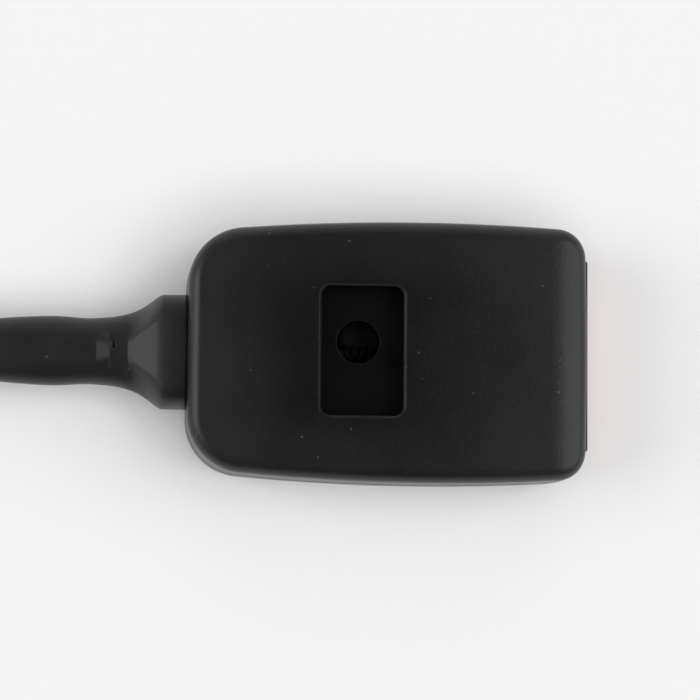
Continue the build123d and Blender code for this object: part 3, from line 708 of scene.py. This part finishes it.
# ------------------------------------------------------------------ stalk
@dataclass
class StrandedRope:
    """Doubled wire rope: two legs and the loop round the thimble, laid from six strands."""

    radius: float = 2.5 * MM
    strands: int = 6
    points_per_strand: int = 12
    lay: float = 31.0 * MM
    start_x: float = 26.0 * MM
    leg_y: float = 2.6 * MM
    height: float = 12.5 * MM
    loop_x: float = 141.0 * MM
    loop_radius: float = 8.0 * MM
    spread: float = 23.0 * MM
    bend_radius: float = 40.0 * MM
    leg_shares: tuple[float, ...] = (0.3, 0.6)
    loop_spans: int = 5
    steps_per_point: int = 26

    def _half_route(self) -> list[Vector]:
        """Control points of one leg and its share of the loop, from the ferrule to the loop's crown."""
        reach = math.hypot(self.spread, self.leg_y)
        slope = math.asin(self.loop_radius / reach) - math.atan2(self.leg_y, self.spread)
        way = Vector((math.cos(slope), math.sin(slope), 0.0))
        corner = Vector((self.loop_x - self.spread, self.leg_y, self.height))
        run = math.sqrt(reach ** 2 - self.loop_radius ** 2)
        reach_in = 2 * self.bend_radius * math.tan(slope / 2)
        span = (math.pi + 2 * slope) / self.loop_spans
        lead = self.loop_radius * math.tan(span / 2)
        points = [Vector((self.start_x, self.leg_y, self.height))]
        points += [points[0].lerp(corner, share) for share in self.leg_shares]
        points += [corner - Vector((reach_in, 0, 0)), corner]
        points += [corner + way * reach_in, corner + way * (run - lead)]
        outer = self.loop_radius / math.cos(span / 2)
        start = math.pi / 2 + slope
        for index in range((self.loop_spans + 1) // 2):
            angle = start - (index + 0.5) * span
            points.append(
                Vector((self.loop_x + outer * math.cos(angle), outer * math.sin(angle), self.height))
            )
        return points

    def _strand_ring(self) -> bpy.types.Object:
        """Section through the rope: the outline of its strands, round a core of their own size."""
        size = self.radius / 3
        ring = 2 * size
        curve = bpy.data.curves.new("rope_section", "CURVE")
        spline = curve.splines.new("POLY")
        count = self.strands * self.points_per_strand
        spline.points.add(count - 1)
        for index, point in enumerate(spline.points):
            angle = math.tau * index / count
            off = (index % self.points_per_strand) / self.points_per_strand * math.tau / self.strands
            off -= math.pi / self.strands
            far = ring * math.cos(off) + math.sqrt(max(size ** 2 - (ring * math.sin(off)) ** 2, 0.0))
            point.co = (far * math.cos(angle), far * math.sin(angle), 0.0, 1.0)
        spline.use_cyclic_u = True
        section = bpy.data.objects.new("rope_section", curve)
        bpy.context.scene.collection.objects.link(section)
        return section

    def build(self, material: bpy.types.Material) -> bpy.types.Object:
        """Lays the rope.

        Args:
            material: The wires' finish.

        Returns:
            The rope.
        """
        half = self._half_route()
        mirrored = [Vector((point.x, -point.y, point.z)) for point in reversed(half)]
        route = half + mirrored[1:]
        curve = bpy.data.curves.new("rope_route", "CURVE")
        curve.dimensions = "3D"
        curve.twist_mode = "Z_UP"
        curve.resolution_u = self.steps_per_point
        spline = curve.splines.new("NURBS")
        spline.points.add(len(route) - 1)
        travelled = 0.0
        for index, (point, place) in enumerate(zip(spline.points, route)):
            travelled += (place - route[index - 1]).length if index else 0.0
            point.co = (*place, 1.0)
            point.tilt = travelled / self.lay * math.tau
        spline.order_u = 3
        spline.use_endpoint_u = True
        section = self._strand_ring()
        curve.bevel_mode = "OBJECT"
        curve.bevel_object = section
        curve.use_fill_caps = True
        laid = bpy.data.objects.new("rope_route", curve)
        bpy.context.scene.collection.objects.link(laid)
        bpy.context.view_layer.update()
        graph = bpy.context.evaluated_depsgraph_get()
        mesh = bpy.data.meshes.new_from_object(laid.evaluated_get(graph))
        bpy.data.objects.remove(laid)
        bpy.data.objects.remove(section)
        shape = bmesh.new()
        shape.from_mesh(mesh)
        bpy.data.meshes.remove(mesh)
        piece = new_piece("stranded_rope", shape, material)
        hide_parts("wire_rope")
        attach(piece, "housing")
        return piece


@dataclass(frozen=True)
class Section:
    """Section of the sleeve at one place along it, in millimetres.

    The outline is an ellipse, squarer as the squareness rises over two, whose top and bottom are cut flat
    over the facet's half-width.
    """

    x: float
    width: float
    thickness: float
    facet: float
    squareness: float


@dataclass
class MouldedSleeve:
    """Soft sleeve over the rope, with its waist, the raised pad, the flare and the gripped collar."""

    sections: tuple[Section, ...] = (
        Section(48.0, 12.4, 7.8, 0.0, 2.5),
        Section(48.4, 13.3, 8.6, 0.0, 2.5),
        Section(49.4, 13.8, 9.0, 0.0, 2.5),
        Section(60.0, 13.8, 9.0, 0.0, 2.5),
        Section(82.0, 13.3, 9.0, 0.0, 2.5),
        Section(87.5, 13.1, 9.0, 0.0, 2.5),
        Section(92.5, 13.8, 9.0, 0.0, 2.5),
        Section(100.0, 14.4, 9.0, 0.0, 2.5),
        Section(106.5, 13.7, 9.0, 0.0, 2.5),
        Section(111.0, 14.2, 9.0, 0.0, 2.5),
        Section(113.0, 14.8, 9.0, 0.0, 2.5),
        Section(114.4, 15.4, 9.0, 0.0, 2.5),
        Section(115.0, 15.8, 9.1, 0.7, 2.1),
        Section(115.4, 16.0, 9.5, 1.5, 1.8),
        Section(117.0, 17.3, 11.2, 3.3, 1.45),
        Section(119.0, 19.7, 13.4, 4.8, 1.6),
        Section(120.0, 21.2, 14.4, 5.5, 2.0),
        Section(121.0, 22.6, 15.3, 5.8, 2.7),
        Section(122.0, 23.5, 15.9, 5.6, 3.6),
        Section(123.0, 23.5, 16.35, 5.0, 4.0),
        Section(124.0, 23.5, 16.7, 4.4, 4.2),
        Section(125.5, 23.5, 16.94, 4.0, 4.2),
        Section(126.97, 23.5, 17.0, 4.0, 4.2),
    )
    groove: tuple[Section, ...] = (
        Section(126.97, 21.6, 15.0, 3.0, 4.2),
        Section(129.3, 21.6, 15.0, 3.0, 4.2),
        Section(129.3, 23.4, 16.8, 4.0, 4.2),
        Section(131.6, 23.4, 16.8, 4.0, 4.2),
    )
    center_z: float = 12.5
    sides: int = 128
    spacing: float = 0.8
    fine_from: float = 107.0
    fine_spacing: float = 0.2
    facet_softness: float = 0.12
    pad_start: float = 108.4
    pad_end: float = 111.1
    pad_cliff: float = 0.1
    pad_half_width: float = 3.0
    pad_height: float = 0.85
    dimple_x: float = 112.0
    dimple_y: float = 0.9
    dimple_length: float = 0.35
    dimple_width: float = 0.5
    dimple_depth: float = 0.8
    housing_draft: float = math.radians(1.0)

    def _value(self, x: float, name: str) -> float:
        """One size of the section at x, on a smooth curve through the named places."""
        knots = self.sections
        spot = next((i for i in range(1, len(knots)) if x <= knots[i].x), len(knots) - 1)
        low, high = knots[spot - 1], knots[spot]
        before, after = knots[max(spot - 2, 0)], knots[min(spot + 1, len(knots) - 1)]
        span = high.x - low.x
        share = min(max((x - low.x) / span, 0.0), 1.0)
        start, end = getattr(low, name), getattr(high, name)
        leave = (end - getattr(before, name)) / (high.x - before.x) * span
        arrive = (getattr(after, name) - start) / (after.x - low.x) * span
        square, cube = share ** 2, share ** 3
        return (
            (2 * cube - 3 * square + 1) * start + (cube - 2 * square + share) * leave
            + (3 * square - 2 * cube) * end + (cube - square) * arrive
        )

    def _place(self, angle: float, section: Section) -> Vector:
        """Point of a section's outline.

        Args:
            angle: Direction from the section's centre.
            section: The section.

        Returns:
            The point, in metres.
        """
        power = section.squareness
        half_width, half_thickness = section.width / 2, section.thickness / 2
        full = half_thickness / (1.0 - (max(section.facet, 0.0) / half_width) ** power) ** (1.0 / power)
        out_y, out_z = math.cos(angle), math.sin(angle)
        reach = (abs(out_y) ** power + abs(out_z) ** power) ** (-1.0 / power)
        over = full * abs(out_z) * reach - half_thickness
        height = half_thickness + (over - math.hypot(over, self.facet_softness)) / 2
        z = math.copysign(max(height, 0.0), out_z)
        lean = math.tan(self.housing_draft) * abs(z) if section.x >= self.sections[-1].x else 0.0
        return Vector((section.x + lean, half_width * out_y * reach, self.center_z + z)) * MM

    def _stations(self) -> list[Section]:
        """Sections at close, even steps, and closer ones from the pad to the collar."""
        first, last = self.sections[0].x, self.sections[-1].x
        places = {section.x for section in self.sections} | {self.pad_end, self.pad_end + self.pad_cliff}
        for start, end, spacing in (
            (first, self.fine_from, self.spacing), (self.fine_from, last, self.fine_spacing),
        ):
            places |= {start + spacing * step for step in range(int((end - start) / spacing))}
        return [
            Section(x, *(self._value(x, name) for name in ("width", "thickness", "facet", "squareness")))
            for x in sorted(places)
        ]

    def _relief(self, place: Vector) -> float:
        """Height added to the upper skin by the raised pad and taken away by the dimple behind it."""
        x, y = place.x / MM, place.y / MM
        rise = min(max((x - self.pad_start) / (self.pad_end - self.pad_start), 0.0), 1.0)
        fall = min(max((self.pad_end + self.pad_cliff - x) / self.pad_cliff, 0.0), 1.0)
        pad = self.pad_height * rise * fall * math.exp(-(y / self.pad_half_width) ** 4)
        off_x = (x - self.dimple_x) / self.dimple_length
        off_y = (y - self.dimple_y) / self.dimple_width
        dimple = self.dimple_depth * math.exp(-off_x ** 2 - off_y ** 2)
        return (pad - dimple) * MM

    @staticmethod
    def _follower(vert: bmesh.types.BMVert, fresh: set) -> bmesh.types.BMVert:
        """The new vertex that was extruded from the vertex."""
        return next(edge.other_vert(vert) for edge in vert.link_edges if edge.other_vert(vert) in fresh)

    def build(self, material: bpy.types.Material) -> bpy.types.Object:
        """Moulds the sleeve.

        Args:
            material: Its finish.

        Returns:
            The sleeve.
        """
        shape = bmesh.new()
        bmesh.ops.create_circle(shape, cap_ends=False, segments=self.sides, radius=1.0)
        ring = list(shape.verts)
        edges = list(shape.edges)
        first = list(edges)
        angles = [math.atan2(vert.co.y, vert.co.x) for vert in ring]
        for index, section in enumerate(self._stations() + list(self.groove)):
            if index:
                grown = bmesh.ops.extrude_edge_only(shape, edges=edges)["geom"]
                edges = [
                    part for part in grown if isinstance(part, bmesh.types.BMEdge) and part.is_boundary
                ]
                fresh = {part for part in grown if isinstance(part, bmesh.types.BMVert)}
                ring = [self._follower(vert, fresh) for vert in ring]
            for vert, angle in zip(ring, angles):
                vert.co = self._place(angle, section)
        for vert in shape.verts:
            if vert.co.z > self.center_z * MM:
                vert.co.z += self._relief(vert.co)
        bmesh.ops.edgeloop_fill(shape, edges=first)
        bmesh.ops.edgeloop_fill(shape, edges=edges)
        piece = new_piece("moulded_sleeve", shape, material)
        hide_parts("cable_sleeve")
        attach(piece, "housing")
        return piece


@dataclass
class Stalk:
    """Rope, sleeve, the fixings of the rope's loop, the ferrule and the anchor plate."""

    rope: StrandedRope
    sleeve: MouldedSleeve

    def build(self, finishes: dict[Slot, bpy.types.Material]) -> None:
        """Builds the rope and sleeve, and dresses the steel at both ends."""
        self.rope.build(finishes[Slot.ROPE])
        self.sleeve.build(finishes[Slot.SLEEVE])
        dress(("cable_thimble", "loop_rivet", "loop_washer"), finishes[Slot.PIN])
        dress(("ferrule", "anchor_plate"), finishes[Slot.ANCHOR])


# ------------------------------------------------------------------ studio
@dataclass(frozen=True)
class Lamp:
    """A soft distant lamp."""

    name: str
    azimuth: float
    elevation: float
    level: float
    softness: float
    in_gloss: bool = True

    def hang(self) -> None:
        """Adds the lamp so that a flat white floor under it alone would show the level."""
        data = bpy.data.lights.new(self.name, "SUN")
        data.energy = self.level * math.pi / math.sin(math.radians(self.elevation))
        data.angle = math.radians(self.softness)
        holder = bpy.data.objects.new(self.name, data)
        bpy.context.scene.collection.objects.link(holder)
        azimuth, elevation = math.radians(self.azimuth), math.radians(self.elevation)
        level_reach = math.cos(elevation)
        toward = Vector(
            (math.cos(azimuth) * level_reach, math.sin(azimuth) * level_reach, math.sin(elevation))
        )
        holder.visible_glossy = self.in_gloss
        holder.rotation_mode = "QUATERNION"
        holder.rotation_quaternion = toward.to_track_quat("Z", "Y")


@dataclass
class Studio:
    """Pale floor, soft lamps and the camera over the rear cover."""

    target: Vector = Vector((161.3, 1.1, 12.5)) * MM
    distance: float = 550.0 * MM
    lean_x: float = math.radians(5.0)
    lean_y: float = math.radians(5.0)
    roll: float = math.radians(0.9)
    lens: float = 135.2
    sensor: float = 36.0
    nearest: float = 10.0 * MM
    floor_size: float = 3.0
    floor_gap: float = 0.2 * MM
    floor_shades: tuple[Color, Color] = ((0.845, 0.850, 0.845), (0.86, 0.865, 0.86))
    floor_grain_scale: float = 300.0
    floor_roughness: float = 0.9
    ambient: float = 0.13
    backdrop: float = 0.913
    backdrop_full: float = math.radians(8.0)
    backdrop_top: float = math.radians(18.0)
    lamps: tuple[Lamp, ...] = (
        Lamp("overhead", -55.0, 76.0, 0.50, 60.0, False),
        Lamp("stalk_side", 178.0, 36.0, 0.19, 42.0),
        Lamp("mouth_side", 0.0, 42.0, 0.20, 50.0),
        Lamp("back", 90.0, 28.0, 0.06, 60.0),
    )

    def _camera(self) -> None:
        """Adds the camera."""
        data = bpy.data.cameras.new("camera")
        data.lens = self.lens
        data.sensor_width = self.sensor
        data.clip_start = self.nearest
        camera = bpy.data.objects.new("camera", data)
        bpy.context.scene.collection.objects.link(camera)
        back = Vector((-math.tan(self.lean_x), -math.tan(self.lean_y), 1.0)).normalized()
        right = (Vector((1.0, 0.0, 0.0)) - back * back.x).normalized()
        up = back.cross(right)
        turned_right = right * math.cos(self.roll) + up * math.sin(self.roll)
        turned_up = up * math.cos(self.roll) - right * math.sin(self.roll)
        axes = Matrix((turned_right, turned_up, back)).transposed()
        camera.matrix_world = Matrix.Translation(self.target + back * self.distance) @ axes.to_4x4()
        bpy.context.scene.camera = camera

    def _world(self) -> None:
        """Lights softly all round, and shows camera, gloss and glass a pale backdrop low down."""
        world = bpy.data.worlds.new("studio")
        graph = NodeGraph(world)
        path = graph.add("ShaderNodeLightPath")
        camera, gloss, glass = (
            Signal(graph, path.outputs[ray])
            for ray in ("Is Camera Ray", "Is Glossy Ray", "Is Transmission Ray")
        )
        direction = graph.add("ShaderNodeTexCoord").outputs["Generated"]
        height = Signal(graph, graph.add("ShaderNodeSeparateXYZ", None, {0: direction}).outputs["Z"])
        low_down = height.window(math.sin(self.backdrop_top), math.sin(self.backdrop_full))
        shown = camera.larger(gloss).larger(glass) * low_down
        strength = self.ambient + shown * (self.backdrop - self.ambient)
        white = (1.0, 1.0, 1.0, 1.0)
        background = graph.add("ShaderNodeBackground", None, {"Color": white, "Strength": strength})
        graph.add("ShaderNodeOutputWorld", None, {"Surface": background.outputs[0]})
        bpy.context.scene.world = world

    def _floor(self) -> None:
        """Adds the floor."""
        shape = bmesh.new()
        bmesh.ops.create_grid(shape, x_segments=2, y_segments=2, size=self.floor_size / 2)
        bmesh.ops.translate(shape, vec=(self.target.x, 0.0, -self.floor_gap), verts=shape.verts)
        graph = ShaderGraph("studio_floor")
        paper = graph.noise(self.floor_grain_scale, 4.0)
        shade = graph.blend(paper, *self.floor_shades)
        finish = graph.finish(Base_Color=shade, Roughness=self.floor_roughness)
        floor = new_piece("studio_floor", shape, finish)

    def build(self) -> None:
        """Adds everything round the buckle."""
        self._camera()
        self._world()
        self._floor()
        for lamp in self.lamps:
            lamp.hang()
        bpy.context.scene.view_settings.view_transform = "Standard"


def main() -> None:
    """Builds the studio and the buckle."""
    logging.basicConfig(level=logging.INFO, format="%(name)s %(message)s")
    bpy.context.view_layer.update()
    finishes = {finish.slot: finish.make() for finish in FINISHES}
    Studio().build()
    Housing().build(finishes)
    Mechanism().build(finishes)
    Stalk(StrandedRope(), MouldedSleeve()).build(finishes)


if __name__ == "__main__":
    main()
